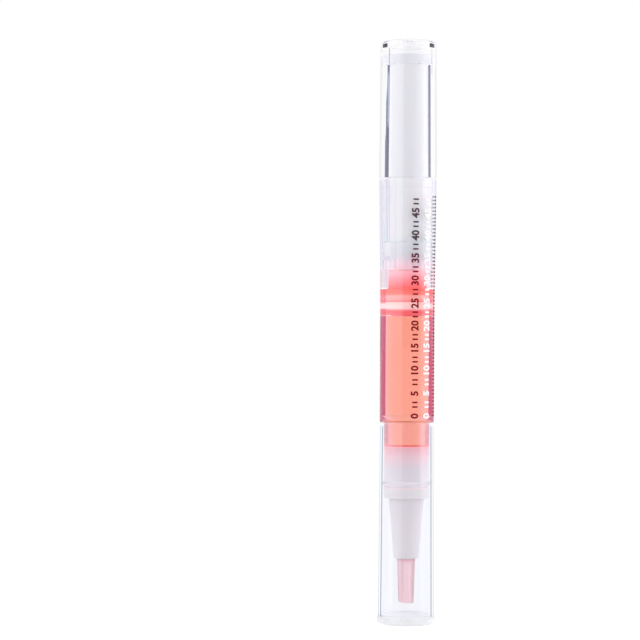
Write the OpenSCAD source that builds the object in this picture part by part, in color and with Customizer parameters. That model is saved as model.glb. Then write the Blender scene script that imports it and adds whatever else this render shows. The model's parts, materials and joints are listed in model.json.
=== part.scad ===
// Twist-up oil pen, standing on the closed end of its cap.
// Turning the knob at the top feeds a screw, whose piston presses oil down into the brush.

/* [Fits] */
// Radial clearance where one piece slides or turns in another
slide_fit = 0.05; // [0.03:0.01:0.08]
// Radial clearance of pieces that are pressed together
press_fit = 0.02; // [0.01:0.01:0.04]
// Axial gap between pieces that meet end to end
end_gap = 0.1; // [0.05:0.05:0.2]

/* [Cap] */
// Length of the cap
cap_len = 44.8; // [42:0.2:50]
// Outer diameter at the closed end
cap_end_d = 13; // [12.6:0.1:14]
// Outer diameter at the mouth
cap_mouth_d = 12.4; // [12.2:0.1:13.4]
// Bore diameter at the closed end
cap_bore_end_d = 11.1; // [11:0.05:11.2]
// Bore diameter at the mouth
cap_bore_mouth_d = 11.3; // [11.2:0.05:11.5]
// Thickness of the closed end
cap_floor = 1; // [0.8:0.1:2]
// Rounding of the outer edge at the closed end
cap_edge_r = 0.5; // [0.2:0.1:0.9]
// Rounding inside, where the bore meets the floor
cap_corner_r = 0.8; // [0.3:0.1:1.5]
// Chamfer inside the mouth
cap_chamfer = 0.2; // [0.1:0.05:0.3]

/* [Barrel] */
// Length of the barrel from its shoulder to its rear end
barrel_len = 54.4; // [52:0.2:62]
// Outer diameter of the straight front stretch
barrel_front_d = 12.2; // [12:0.1:12.6]
// Outer diameter at the rear end
barrel_rear_d = 12.8; // [12.6:0.1:13.4]
// Length of the straight front stretch
barrel_straight = 26; // [15:1:40]
// Bore of the oil chamber
chamber_d = 10.6; // [10:0.1:10.8]
// Bore of the rear seat that holds the drive
seat_d = 11.2; // [11:0.1:11.6]
// Depth of the rear seat
seat_depth = 20.4; // [18:0.2:24]
// Thickness of the shoulder between chamber and neck
shoulder_t = 1.5; // [1.2:0.1:2.5]
// Length of the neck that the cap covers
neck_len = 14.4; // [13:0.1:16]
// Outer diameter of the neck
neck_d = 10.2; // [9.8:0.1:10.5]
// Bore of the neck
neck_bore_d = 8.4; // [8:0.1:8.8]
// Height of the ring round the neck's end that guides the cap
neck_ring_h = 1.1; // [0.8:0.1:2]

/* [Nozzle] */
// Diameter of the flange under the neck
flange_d = 10.3; // [9.6:0.1:10.8]
// Height of the flange
flange_h = 2.5; // [1.5:0.1:3]
// Length of the plug that sits in the neck
plug_len = 9.1; // [6:0.1:10.5]
// Bore of the plug
plug_bore_d = 6; // [5.6:0.1:6.4]
// Length of the tapered nose
nose_len = 13.6; // [12:0.1:16]
// Diameter of the nose under the flange
nose_root_d = 8; // [7.6:0.1:9]
// Diameter of the nose at its tip
nose_tip_d = 5.6; // [5.2:0.1:6.4]
// Rounding of the nose's tip
nose_tip_r = 0.5; // [0.2:0.1:0.6]
// Height above the tip at which the brush collar seats
collar_seat = 9.1; // [7:0.1:10]

/* [Brush] */
// Diameter of the tuft where it leaves the nose
tuft_d = 4.2; // [3.8:0.1:4.4]
// Diameter of the tuft at its end
tuft_end_d = 3.3; // [2.4:0.1:3.8]
// Length of the tuft outside the nose
tuft_len = 10.1; // [7:0.1:11]
// How much longer the tuft is on one side
tuft_slant = 0.3; // [0:0.1:0.8]
// Number of bristles
bristles = 330; // [300:10:400]
// Width of a bristle at its root
bristle_w = 0.13; // [0.1:0.01:0.16]
// Width of a bristle at its tip
bristle_tip_w = 0.06; // [0.04:0.01:0.08]
// How far inside the nose the bristles part from their fused root
root_depth = 1.2; // [0.6:0.1:3]
// Length of the collar round the root
collar_len = 3; // [2:0.1:4]
// Outer diameter of the tube that feeds the tuft
feed_d = 0.9; // [0.8:0.05:1.1]
// Bore of the feed tube
feed_bore_d = 0.5; // [0.4:0.05:0.6]
// How far the feed tube reaches past the nose into the tuft
feed_reach = 5; // [2:0.5:6]
// How far the feed tube stands above the root of the tuft
feed_rise = 5; // [2:0.5:8]

/* [Piston] */
// Length of the piston
piston_len = 10.2; // [9.6:0.1:12]
// Height of the rounded front of the piston
piston_nose_h = 1.7; // [1.2:0.1:2]
// Height of each sealing lip
lip_h = 1.5; // [1:0.1:1.8]
// Height of the waist between the lips
waist_h = 1.3; // [0.8:0.1:1.6]
// How far the waist lies inside the lips
waist_depth = 0.7; // [0.3:0.1:1]
// Outer diameter of the collar behind the lips
piston_collar_d = 8.7; // [8:0.1:9.4]
// Wall of that collar
piston_collar_wall = 0.9; // [0.6:0.1:1.2]
// Diameter of the flat front of the piston
piston_front_d = 6.6; // [5:0.1:7.6]

/* [Screw] */
// Crest diameter of the two-start thread
thread_d = 4.5; // [4.2:0.1:4.8]
// Depth of the thread
thread_depth = 0.5; // [0.3:0.05:0.6]
// Travel for one full turn
thread_lead = 4.4; // [3.6:0.2:5.2]
// Clearance between screw and nut threads
thread_gap = 0.15; // [0.1:0.01:0.18]
// Length of the threaded stretch
thread_len = 38; // [34:0.5:42]
// Width across the two flats of the screw
flats_w = 3.2; // [2.8:0.1:3.4]
// Diameter of the head that turns in the piston
head_d = 4.6; // [4:0.1:4.8]
// Height of the head
head_h = 1.5; // [1:0.1:1.7]
// Diameter of the screw's waist behind the head
screw_waist_d = 2.9; // [2.4:0.1:3]
// Length of that waist
screw_waist_len = 2; // [1.6:0.1:2.4]
// Wall between the head's pocket and the front of the piston
pocket_floor = 3.8; // [3:0.1:4.2]

/* [Nut and ratchet] */
// Height of the threaded floor of the nut
nut_h = 3; // [2.4:0.1:4]
// Height of the ratchet crown on the nut
crown_h = 3.1; // [2.6:0.1:4]
// Wall of the crown behind the ratchet teeth
crown_wall = 0.45; // [0.35:0.05:0.6]
// Depth of the ratchet teeth
tooth_depth = 0.32; // [0.2:0.02:0.4]
// Number of ratchet teeth
teeth = 12; // [8:2:16]
// Depth of the press ribs round the nut
rib_depth = 0.15; // [0.1:0.01:0.2]
// Number of press ribs
ribs = 28; // [16:2:36]
// Wall of the click spring's hub
spring_hub_wall = 0.45; // [0.35:0.05:0.6]
// Thickness of the click spring's arms
arm_t = 0.4; // [0.3:0.05:0.5]
// Height of the click spring
spring_h = 1.8; // [1.2:0.1:2.4]
// Angle that each arm sweeps
arm_sweep = 105; // [80:5:120]

/* [Stem] */
// Diameter of the stem inside the knob
stem_d = 7.7; // [7.2:0.1:8]
// Diameter of the stem where it turns in the sleeve
journal_d = 8.4; // [8.2:0.1:8.8]
// Diameter of the flange that the sleeve holds down
stem_flange_d = 9.9; // [9.4:0.1:10.4]
// Height of that flange
stem_flange_h = 0.9; // [0.6:0.1:1.4]
// Diameter of the tail that carries the click spring
tail_d = 6; // [5.8:0.1:6.2]
// Width across the flats of the tail
tail_flats_w = 5.2; // [4.8:0.1:5.4]
// Wall above the screw's bore
stem_top_wall = 3; // [2:0.5:5]
// Height of the ribbed plug at the top of the stem
stem_plug_h = 2.1; // [1.5:0.1:3]
// Depth of the ribs on that plug
stem_rib_depth = 0.25; // [0.15:0.05:0.35]
// Number of ribs on that plug
stem_ribs = 12; // [6:1:16]

/* [Knob] */
// Length of the knob
knob_len = 30.6; // [28:0.2:34]
// Outer diameter at the mouth
knob_mouth_d = 12.9; // [12.7:0.1:13.4]
// Outer diameter at the closed end
knob_end_d = 12.45; // [12.2:0.05:13]
// Bore diameter at the mouth
knob_bore_mouth_d = 9.7; // [9.4:0.1:10.2]
// Bore diameter at the step
knob_bore_end_d = 9.4; // [8.8:0.1:9.6]
// Diameter of the socket that holds the stem's plug
socket_d = 8.3; // [8.1:0.1:8.6]
// Depth of the socket
socket_depth = 3.9; // [3:0.1:5]
// Thickness of the closed end
knob_top = 1.3; // [1:0.1:2]
// Rounding of the outer edge at the closed end
knob_edge_r = 0.5; // [0.2:0.1:0.9]
// Chamfer inside and outside the mouth
knob_chamfer = 0.15; // [0.05:0.05:0.25]
// Diameter of the moulding gate's recess on both closed ends
gate_d = 2; // [1:0.1:3]
// Depth of that recess
gate_depth = 0.15; // [0.05:0.05:0.3]

/* [Hidden] */
$fn = 96;

// Overrun of every cut past the face that it leaves
over = 1;
// Rounding of small moulded edges
soft_edge = 0.2;
// Length of the chamfer that leads a pressed piece in
lead_in = 0.5;
// Edges of one rounded corner
corner_steps = 5;
// Points round the thread's section, and sections in one turn
thread_points = 20;
thread_slices = 16;
thread_starts = 2;
// Sides of one bristle
bristle_sides = 3;
// Turn from one bristle to the next in the sunflower pattern
golden_turn = 137.508;
// Steps along the ramp of one ratchet tooth
ramp_steps = 4;
// Steps along one arm of the click spring
arm_steps = 14;
arms = 2;
// Share of a tooth's pitch that the pawl's wedge takes
pawl_share = 0.35;
// Share of an arm's sweep in which it leaves the hub
arm_rise_share = 0.3;
// Share of a press rib's pitch that its crest fills
rib_share = 0.45;
// Share of the sleeve's length that its thicker top collar takes
sleeve_collar_share = 0.15;
// Share of the neck ring's height at each end that is chamfered
ring_taper_share = 0.3;

// Heights, from the closed end of the cap upwards
shoulder_z = cap_len + end_gap;
rear_z = shoulder_z + barrel_len;
neck_z = shoulder_z - neck_len;
nose_z = neck_z - flange_h;
tip_z = nose_z - nose_len;
tuft_z = tip_z - tuft_len;
plug_z = neck_z + plug_len;
chamber_z = shoulder_z + shoulder_t;
ledge_z = rear_z - seat_depth;
piston_z = ledge_z - end_gap - piston_len;
crown_z = ledge_z + nut_h;
crown_top_z = crown_z + crown_h;
stem_flange_z = crown_top_z + end_gap;
journal_z = stem_flange_z + stem_flange_h;
sleeve_z = journal_z + end_gap;
tail_z = crown_z + end_gap;
knob_z = rear_z + end_gap;
knob_top_z = knob_z + knob_len;
socket_top_z = knob_top_z - knob_top;
socket_z = socket_top_z - socket_depth;
stem_top_z = socket_z + stem_plug_h;
collar_z = tip_z + collar_seat;
root_top_z = collar_z + collar_len - end_gap;
root_z = tip_z + root_depth;
feed_z = tip_z - feed_reach;
feed_top_z = root_top_z + feed_rise;
head_z = piston_z + pocket_floor + end_gap;
screw_waist_z = head_z + head_h;
thread_z = screw_waist_z + screw_waist_len;
screw_top_z = thread_z + thread_len;

// Radii that follow from the fits
nut_r = seat_d / 2 - press_fit;
piston_r = chamber_d / 2 - slide_fit;
plug_r = neck_bore_d / 2 - press_fit;
tooth_root_r = nut_r - rib_depth - crown_wall;
tooth_tip_r = tooth_root_r - tooth_depth;
collar_r = plug_bore_d / 2 - press_fit;

function mix(a, b, t) = a + (b - a) * t;

// Radius of the cap's bore at a height, which opens towards the mouth
function cap_bore_r(z) = mix(cap_bore_end_d, cap_bore_mouth_d, z / cap_len) / 2;

// Points of an arc about a centre, from one angle to another
function arc(centre, r, from, to) = [for (i = [0 : corner_steps])
    let (a = mix(from, to, i / corner_steps)) centre + r * [cos(a), sin(a)]];

function ring_point(r, a, z) = [r * cos(a), r * sin(a), z];

// A turned solid from an outline of [radius, height] points
module turned(outline) {
    rotate_extrude() polygon(outline);
}

module disc(d, from, to) {
    translate([0, 0, from]) cylinder(d = d, h = to - from);
}

// A stretch between two parallel flats, to be met with a round bar
module slab(width, reach, from, to) {
    translate([-reach, -width / 2, from]) cube([2 * reach, width, to - from]);
}

module cap() {
    edge = cap_end_d / 2 - cap_edge_r;
    corner = cap_bore_r(cap_floor) - cap_corner_r;
    mouth = cap_bore_mouth_d / 2;
    rim = cap_mouth_d / 2;
    outline = concat(
        [[0, gate_depth], [gate_d / 2, gate_depth], [gate_d / 2, 0]],
        arc([edge, cap_edge_r], cap_edge_r, -90, 0),
        [[rim, cap_len - cap_chamfer], [rim - cap_chamfer, cap_len],
            [mouth + cap_chamfer, cap_len], [mouth, cap_len - cap_chamfer]],
        arc([corner, cap_floor + cap_corner_r], cap_corner_r, 0, -90),
        [[0, cap_floor]]);
    color([0.93, 0.95, 0.99, 0.35]) turned(outline);
}

module barrel() {
    front = barrel_front_d / 2;
    rear = barrel_rear_d / 2;
    neck = neck_d / 2;
    neck_bore = neck_bore_d / 2;
    ring = cap_bore_r(neck_z) - slide_fit;
    ring_taper = neck_ring_h * ring_taper_share;
    ring_top = neck_z + neck_ring_h;
    outline = concat(
        [[neck_bore + soft_edge, neck_z], [neck, neck_z], [ring, neck_z + ring_taper],
            [ring, ring_top - ring_taper], [neck, ring_top], [neck, shoulder_z]],
        arc([front - soft_edge, shoulder_z + soft_edge], soft_edge, -90, 0),
        [[front, shoulder_z + barrel_straight]],
        arc([rear - soft_edge, rear_z - soft_edge], soft_edge, 0, 90),
        [[seat_d / 2 + soft_edge, rear_z], [seat_d / 2, rear_z - soft_edge], [seat_d / 2, ledge_z],
            [chamber_d / 2, ledge_z], [chamber_d / 2, chamber_z],
            [neck_bore, chamber_z - (chamber_d - neck_bore_d) / 2],
            [neck_bore, neck_z + soft_edge]]);
    color([0.95, 0.93, 0.97, 0.4]) turned(outline);
}

module nozzle() {
    flange = flange_d / 2;
    root = nose_root_d / 2;
    tip = nose_tip_d / 2;
    bore = plug_bore_d / 2;
    tuft_bore = tuft_d / 2 + slide_fit;
    outline = concat(
        [[tuft_bore, tip_z]],
        arc([tip - nose_tip_r, tip_z + nose_tip_r], nose_tip_r, -90, 0),
        [[root, nose_z]],
        arc([flange - soft_edge, nose_z + soft_edge], soft_edge, -90, 0),
        [[flange, neck_z - soft_edge], [flange - soft_edge, neck_z], [plug_r, neck_z],
            [plug_r, plug_z - lead_in], [plug_r - soft_edge, plug_z], [bore + soft_edge, plug_z],
            [bore, plug_z - soft_edge], [bore, collar_z], [tuft_bore, collar_z]]);
    color([0.93, 0.91, 0.94]) turned(outline);
}

module brush_collar() {
    color([0.95, 0.9, 0.92]) difference() {
        disc(2 * collar_r, collar_z, collar_z + collar_len);
        disc(tuft_d + 2 * press_fit, collar_z - over, collar_z + collar_len + over);
    }
}

// Distance of bristle i from the axis, evenly spread over a ring that leaves the feed tube free
function bristle_radius(i, inner, outer) = sqrt(mix(inner ^ 2, outer ^ 2, (i + 0.5) / bristles));

module bristle_field() {
    inner = feed_d / 2 + slide_fit + bristle_w;
    outer = tuft_d / 2 - bristle_w;
    squeeze = (tuft_end_d - bristle_w) / (tuft_d - bristle_w);
    foot_z = root_z + bristle_w;
    at = [for (i = [0 : bristles - 1]) [bristle_radius(i, inner, outer), i * golden_turn]];
    points = [for (p = at)
        let (x = p[0] * cos(p[1]), y = p[0] * sin(p[1]),
            end = [x * squeeze, y * squeeze, tuft_z + tuft_slant * (outer - x) / (2 * outer)],
            foot = [x, y, foot_z])
        each concat(
            [for (k = [0 : bristle_sides - 1])
                foot + ring_point(bristle_w / 2, p[1] + k * 360 / bristle_sides, 0)],
            [for (k = [0 : bristle_sides - 1])
                end + ring_point(bristle_tip_w / 2, p[1] + k * 360 / bristle_sides, 0)])];
    faces = [for (i = [0 : bristles - 1])
        let (b = i * 2 * bristle_sides, t = b + bristle_sides)
        each concat(
            [[for (k = [bristle_sides - 1 : -1 : 0]) b + k]],
            [[for (k = [0 : bristle_sides - 1]) t + k]],
            [for (k = [0 : bristle_sides - 1]) let (n = (k + 1) % bristle_sides) each
                [[b + k, b + n, t + n], [b + k, t + n, t + k]]])];
    polyhedron(points, faces);
}

module brush_bristles() {
    color([0.95, 0.75, 0.8]) difference() {
        union() {
            bristle_field();
            disc(tuft_d, root_z, root_top_z);
        }
        disc(feed_d + 2 * press_fit, root_z - over, root_top_z + over);
    }
}

module feed_tube() {
    color([0.9, 0.9, 0.92]) difference() {
        disc(feed_d, feed_z, feed_top_z);
        disc(feed_bore_d, feed_z - over, feed_top_z + over);
    }
}

module oil_fill() {
    chamber = chamber_d / 2 - press_fit;
    neck = neck_bore_d / 2 - press_fit;
    channel = plug_bore_d / 2 - press_fit;
    top = piston_z - press_fit;
    bottom = collar_z + collar_len + press_fit;
    color([1, 0.62, 0.58, 0.7]) difference() {
        turned([[0, bottom], [channel, bottom], [channel, plug_z + press_fit], [neck, plug_z + press_fit],
            [neck, chamber_z - (chamber_d - neck_bore_d) / 2], [chamber, chamber_z],
            [chamber, top], [0, top]]);
        disc(feed_d + 2 * press_fit, bottom - over, feed_top_z + press_fit);
    }
}

module piston() {
    front = piston_front_d / 2;
    waist = piston_r - waist_depth;
    collar = piston_collar_d / 2;
    hollow = collar - piston_collar_wall;
    pocket = head_d / 2 + slide_fit;
    mouth = screw_waist_d / 2 + slide_fit;
    lip_z = piston_z + piston_nose_h;
    waist_z = lip_z + lip_h;
    rear_lip_z = waist_z + waist_h;
    collar_bottom = rear_lip_z + lip_h;
    top = piston_z + piston_len;
    pocket_z = piston_z + pocket_floor;
    mouth_z = screw_waist_z + end_gap;
    mouth_top = thread_z - end_gap;
    outline = [[0, piston_z], [front, piston_z], [waist, piston_z + piston_nose_h / 2],
        [piston_r, lip_z], [piston_r, lip_z + lip_h / 2], [waist, waist_z],
        [waist, rear_lip_z], [piston_r, rear_lip_z + lip_h / 2], [piston_r, collar_bottom],
        [collar, collar_bottom + soft_edge], [collar, top], [hollow, top],
        [hollow, mouth_top], [mouth, mouth_top], [mouth, mouth_z],
        [pocket, mouth_z], [pocket, pocket_z], [0, pocket_z]];
    color([0.98, 0.85, 0.85]) turned(outline);
}

// One section of the two-start thread, grown by a clearance
module thread_section(grow) {
    mean = (thread_d - thread_depth) / 2 + grow;
    polygon([for (i = [0 : thread_points - 1])
        let (a = i * 360 / thread_points, r = mean + thread_depth / 2 * cos(thread_starts * a))
        [r * cos(a), r * sin(a)]]);
}

// A right-hand thread, in step with the same thread at any other height
module thread(from, to, grow) {
    turns = (to - from) / thread_lead;
    translate([0, 0, from]) rotate([0, 0, from / thread_lead * 360])
        linear_extrude(height = to - from, twist = -360 * turns, slices = ceil(turns * thread_slices),
            $fn = thread_points) thread_section(grow);
}

module screw_rod() {
    color([0.97, 0.97, 0.97]) union() {
        intersection() {
            thread(thread_z, screw_top_z, 0);
            slab(flats_w, thread_d, thread_z - over, screw_top_z + over);
        }
        disc(screw_waist_d, screw_waist_z, thread_z);
        disc(head_d, head_z, screw_waist_z);
    }
}

// Outline of a ring of square ribs, as points that step in and out
function ribbed_outline(inner, outer, count, share) = [for (i = [0 : count - 1])
    let (pitch = 360 / count, a = i * pitch, w = pitch * share)
    each [[outer * cos(a), outer * sin(a)], [outer * cos(a + w), outer * sin(a + w)],
        [inner * cos(a + w), inner * sin(a + w)], [inner * cos(a + pitch), inner * sin(a + pitch)]]];

// Outline of the ratchet: each tooth ramps inwards one way round and drops back at its steep side
function ratchet_outline() = [for (i = [0 : teeth - 1])
    let (a = i * 360 / teeth)
    each [[tooth_tip_r * cos(a), tooth_tip_r * sin(a)],
        for (k = [1 : ramp_steps - 1])
            let (t = k / ramp_steps, r = mix(tooth_tip_r, tooth_root_r, t), b = a + t * 360 / teeth)
            [r * cos(b), r * sin(b)],
        [tooth_root_r * cos(a + 360 / teeth), tooth_root_r * sin(a + 360 / teeth)]]];

module screw_nut() {
    ribs_z = crown_z - lead_in;
    run_out = thread_lead / thread_slices;
    color([0.92, 0.91, 0.94]) difference() {
        union() {
            disc(2 * (nut_r - rib_depth), ledge_z, crown_top_z);
            translate([0, 0, ledge_z]) linear_extrude(height = ribs_z - ledge_z)
                polygon(ribbed_outline(nut_r - rib_depth, nut_r, ribs, rib_share));
        }
        translate([0, 0, crown_z]) linear_extrude(height = crown_h + over) polygon(ratchet_outline());
        thread(ledge_z - run_out, crown_z + run_out, thread_gap);
    }
}

// One arm of the click spring: it leaves the hub, runs round beside it and ends in a wedge, its pawl
module spring_arm(hub_r) {
    start = hub_r - arm_t;
    end = tooth_tip_r - arm_t / 2 - slide_fit;
    wedge = 360 / teeth * pawl_share;
    tip_r = tooth_root_r - slide_fit;
    function arm_point(t, side, sweep) =
        let (r = mix(start, end, min(t / arm_rise_share, 1)) + side * arm_t / 2)
        [r * cos(sweep * t), r * sin(sweep * t)];
    polygon(concat(
        [for (i = [0 : arm_steps]) arm_point(i / arm_steps, 1, arm_sweep - wedge)],
        [[tip_r * cos(arm_sweep), tip_r * sin(arm_sweep)]],
        [for (i = [arm_steps : -1 : 0]) arm_point(i / arm_steps, -1, arm_sweep)]));
}

module click_spring() {
    bore = tail_d / 2 + press_fit;
    hub_r = bore + spring_hub_wall;
    // Turns the pawls to the steep sides of the teeth
    pitch = 360 / teeth;
    pawl_angle = pitch * ceil(arm_sweep / pitch) - arm_sweep - atan(slide_fit / tooth_root_r);
    bottom = tail_z + end_gap;
    color([0.96, 0.96, 0.97]) difference() {
        translate([0, 0, bottom]) linear_extrude(height = spring_h) {
            circle(hub_r);
            for (i = [0 : arms - 1]) rotate(pawl_angle + i * 360 / arms) spring_arm(hub_r);
        }
        intersection() {
            disc(2 * bore, bottom - over, bottom + spring_h + over);
            slab(tail_flats_w + 2 * press_fit, tail_d, bottom - over, bottom + spring_h + over);
        }
    }
}

module drive_stem() {
    bore_top = stem_top_z - stem_top_wall;
    plug_d = socket_d - 2 * press_fit;
    color([0.97, 0.97, 0.98]) difference() {
        union() {
            intersection() {
                disc(tail_d, tail_z, stem_flange_z + over);
                slab(tail_flats_w, tail_d, tail_z - over, stem_flange_z + over);
            }
            disc(stem_flange_d, stem_flange_z, journal_z);
            disc(journal_d, journal_z, rear_z);
            disc(stem_d, rear_z, socket_z);
            translate([0, 0, socket_z]) linear_extrude(height = stem_plug_h)
                polygon(ribbed_outline(plug_d / 2 - stem_rib_depth, plug_d / 2, stem_ribs, rib_share));
        }
        intersection() {
            disc(thread_d + 2 * slide_fit, tail_z - over, bore_top);
            slab(flats_w + 2 * slide_fit, thread_d, tail_z - over, bore_top);
        }
    }
}

module bearing_sleeve() {
    outer = seat_d / 2 - press_fit;
    bore = journal_d / 2 + slide_fit;
    body = outer - rib_depth;
    collar_h = (rear_z - sleeve_z) * sleeve_collar_share;
    outline = [[bore, sleeve_z], [body - soft_edge, sleeve_z], [body, sleeve_z + soft_edge],
        [body, rear_z - collar_h], [outer, rear_z - collar_h], [outer, rear_z - soft_edge],
        [outer - soft_edge, rear_z], [bore, rear_z]];
    color([0.9, 0.89, 0.95]) turned(outline);
}

module knob_shell() {
    mouth = knob_mouth_d / 2;
    end = knob_end_d / 2;
    bore_mouth = knob_bore_mouth_d / 2;
    bore_end = knob_bore_end_d / 2;
    socket = socket_d / 2;
    outline = concat(
        [[bore_mouth, knob_z + knob_chamfer], [bore_mouth + knob_chamfer, knob_z],
            [mouth - knob_chamfer, knob_z], [mouth, knob_z + knob_chamfer]],
        arc([end - knob_edge_r, knob_top_z - knob_edge_r], knob_edge_r, 0, 90),
        [[gate_d / 2, knob_top_z], [gate_d / 2, knob_top_z - gate_depth], [0, knob_top_z - gate_depth],
            [0, socket_top_z], [socket, socket_top_z], [socket, socket_z], [bore_end, socket_z]]);
    color([0.93, 0.95, 0.99, 0.35]) turned(outline);
}

cap();
barrel();
nozzle();
brush_collar();
brush_bristles();
feed_tube();
oil_fill();
piston();
screw_rod();
screw_nut();
click_spring();
drive_stem();
bearing_sleeve();
knob_shell();
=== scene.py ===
import json
import math
import random

import bmesh
import bpy
from mathutils import Matrix, Vector


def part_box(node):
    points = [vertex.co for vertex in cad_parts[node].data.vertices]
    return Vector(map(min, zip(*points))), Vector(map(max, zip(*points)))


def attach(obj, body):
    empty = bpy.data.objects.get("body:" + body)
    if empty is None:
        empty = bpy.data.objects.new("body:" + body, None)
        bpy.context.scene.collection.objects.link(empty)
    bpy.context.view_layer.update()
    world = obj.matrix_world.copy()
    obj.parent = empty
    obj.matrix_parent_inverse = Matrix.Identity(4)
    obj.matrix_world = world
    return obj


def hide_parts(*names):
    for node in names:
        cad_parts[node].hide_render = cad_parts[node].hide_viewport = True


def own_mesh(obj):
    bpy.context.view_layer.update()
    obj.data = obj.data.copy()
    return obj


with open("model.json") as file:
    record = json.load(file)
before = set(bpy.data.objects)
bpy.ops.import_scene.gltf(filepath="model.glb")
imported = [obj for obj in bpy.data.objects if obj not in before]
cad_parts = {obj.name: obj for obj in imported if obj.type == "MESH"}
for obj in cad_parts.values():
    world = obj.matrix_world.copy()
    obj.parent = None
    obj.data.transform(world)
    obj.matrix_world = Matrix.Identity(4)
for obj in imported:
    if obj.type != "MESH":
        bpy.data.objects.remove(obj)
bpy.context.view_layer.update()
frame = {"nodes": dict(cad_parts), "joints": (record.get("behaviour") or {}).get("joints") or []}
print("frame loaded:", len(frame["nodes"]), "nodes")

# Lengths in the dictionaries are in mm; meshes are made in metres.
mm = 0.001
turn = 2 * math.pi
white = (1, 1, 1, 1)


def span(node):
    # Lowest height, highest height and outer radius of a node, in mm.
    low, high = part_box(node)
    return low.z / mm, high.z / mm, high.x / mm


# Materials

class Link:
    # An output socket that sums can be written with.
    def __init__(self, graph, socket):
        self.graph = graph
        self.socket = socket

    def maths(self, operation, first, second):
        return self.graph.add("ShaderNodeMath", {"operation": operation}, {0: first, 1: second})

    def __add__(self, other):
        return self.maths("ADD", self, other)

    def __radd__(self, other):
        return self.maths("ADD", other, self)

    def __sub__(self, other):
        return self.maths("SUBTRACT", self, other)

    def __rsub__(self, other):
        return self.maths("SUBTRACT", other, self)

    def __mul__(self, other):
        return self.maths("MULTIPLY", self, other)

    def __rmul__(self, other):
        return self.maths("MULTIPLY", other, self)

    def __truediv__(self, other):
        return self.maths("DIVIDE", self, other)

    def __rtruediv__(self, other):
        return self.maths("DIVIDE", other, self)

    def __pow__(self, other):
        return self.maths("POWER", self, other)

    def __rpow__(self, other):
        return self.maths("POWER", other, self)

    def __lt__(self, other):
        return self.maths("LESS_THAN", self, other)

    def __gt__(self, other):
        return self.maths("GREATER_THAN", self, other)

    def larger(self, other):
        return self.maths("MAXIMUM", self, other)

    def bearing(self, other):
        # The angle, in degrees, whose tangent is this over the other.
        return self.maths("ARCTAN2", self, other) * (360 / turn)


class Graph:
    # A node tree and the one way to add a node to it.
    def __init__(self, owner):
        owner.use_nodes = True
        self.tree = owner.node_tree
        self.tree.nodes.clear()

    def add(self, kind, settings=None, inputs=None, output=0):
        node = self.tree.nodes.new(kind)
        for name, value in (settings or {}).items():
            if name == "stops":
                self.setStops(node.color_ramp, value)
            else:
                setattr(node, name, value)
        for key, value in (inputs or {}).items():
            if isinstance(value, Link):
                self.tree.links.new(value.socket, node.inputs[key])
            else:
                node.inputs[key].default_value = value
        return Link(self, node.outputs[output]) if node.outputs else None

    def setStops(self, ramp, stops):
        while len(ramp.elements) < len(stops):
            ramp.elements.new(1)
        for element, (place, tone) in zip(ramp.elements, stops):
            element.position = place
            element.color = (*tone, 1)

    def ramp(self, share, stops):
        return self.add("ShaderNodeValToRGB", {"stops": stops}, {"Fac": share})

    def blend(self, factor, first, second):
        # Two colours, the second by this factor.
        return self.add("ShaderNodeMix", {"data_type": "RGBA"}, {0: factor, 6: first, 7: second}, 2)

    def mixed(self, share, first, second):
        # Two surfaces, the second by this share.
        return self.add("ShaderNodeMixShader", inputs={0: share, 1: first, 2: second})

    def clear(self, tint=white):
        return self.add("ShaderNodeBsdfTransparent", inputs={"Color": tint})

    def glass(self, tone, roughness, index, **more):
        inputs = {"Base Color": tone, "Roughness": roughness, "IOR": index, "Transmission Weight": 1.0}
        return self.add("ShaderNodeBsdfPrincipled", inputs={**inputs, **more})

    def step(self, value, start, end):
        # 0 below start, 1 above end and smooth between.
        settings = {"interpolation_type": "SMOOTHSTEP"}
        return self.add("ShaderNodeMapRange", settings, {"Value": value, "From Min": start, "From Max": end})

    def within(self, value, low, high, soft):
        # 1 from low to high, with a soft edge outside them.
        return self.step(value, low - soft, low) * (1 - self.step(value, high, high + soft))

    def place(self):
        # The point on the piece, in metres.
        return self.add("ShaderNodeTexCoord", output="Object")

    def part(self, vector, axis):
        return self.add("ShaderNodeSeparateXYZ", inputs={0: vector}, output=axis)

    def height(self):
        # Height above the foot of the pen, in mm.
        return self.part(self.place(), "Z") / mm

    def facing(self):
        # 0 where a face looks at the viewer, up to 1 where it is seen along.
        return self.add("ShaderNodeLayerWeight", inputs={"Blend": 0.5}, output="Facing")

    def noise(self, size, detail, stretch=1):
        # Noise with features of about that size in mm, drawn out along the pen by stretch.
        inputs = {"Vector": self.place(), "Scale": (1, 1, 1 / stretch)}
        scaled = self.add("ShaderNodeMapping", inputs=inputs)
        inputs = {"Vector": scaled, "Scale": 1 / (size * mm), "Detail": detail}
        return self.add("ShaderNodeTexNoise", inputs=inputs)

    def bump(self, value, depth):
        return self.add("ShaderNodeBump", inputs={"Height": value, "Distance": depth * mm, "Strength": 1.0})

    def ray(self, fact):
        # What is known of the ray: its kind, as 0 or 1, or how often it was reflected or has passed a face.
        return self.add("ShaderNodeLightPath", output=fact)

    def light(self, *kinds):
        # 1 for rays of any of these kinds.
        total = self.ray(kinds[0])
        for kind in kinds[1:]:
            total = total.larger(self.ray(kind))
        return total


def colour(red, green, blue):
    # A colour read off a screen, 0 to 255, as the linear value that a shader takes.
    def linear(c):
        c = c / 255
        return c / 12.92 if c <= 0.04045 else ((c + 0.055) / 1.055) ** 2.4
    return (linear(red), linear(green), linear(blue), 1)


def steps(*stops):
    # Ramp stops from (height share, red, green, blue).
    return [(share, colour(*rgb)[:3]) for share, *rgb in stops]


def finish(name, build):
    # A new material: build gets its graph and returns the surface.
    material = bpy.data.materials.new(name)
    graph = Graph(material)
    graph.add("ShaderNodeOutputMaterial", inputs={"Surface": build(graph)})
    return material


# In each look's dictionary a noise is given by its size in mm, its detail and its stretch.

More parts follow.
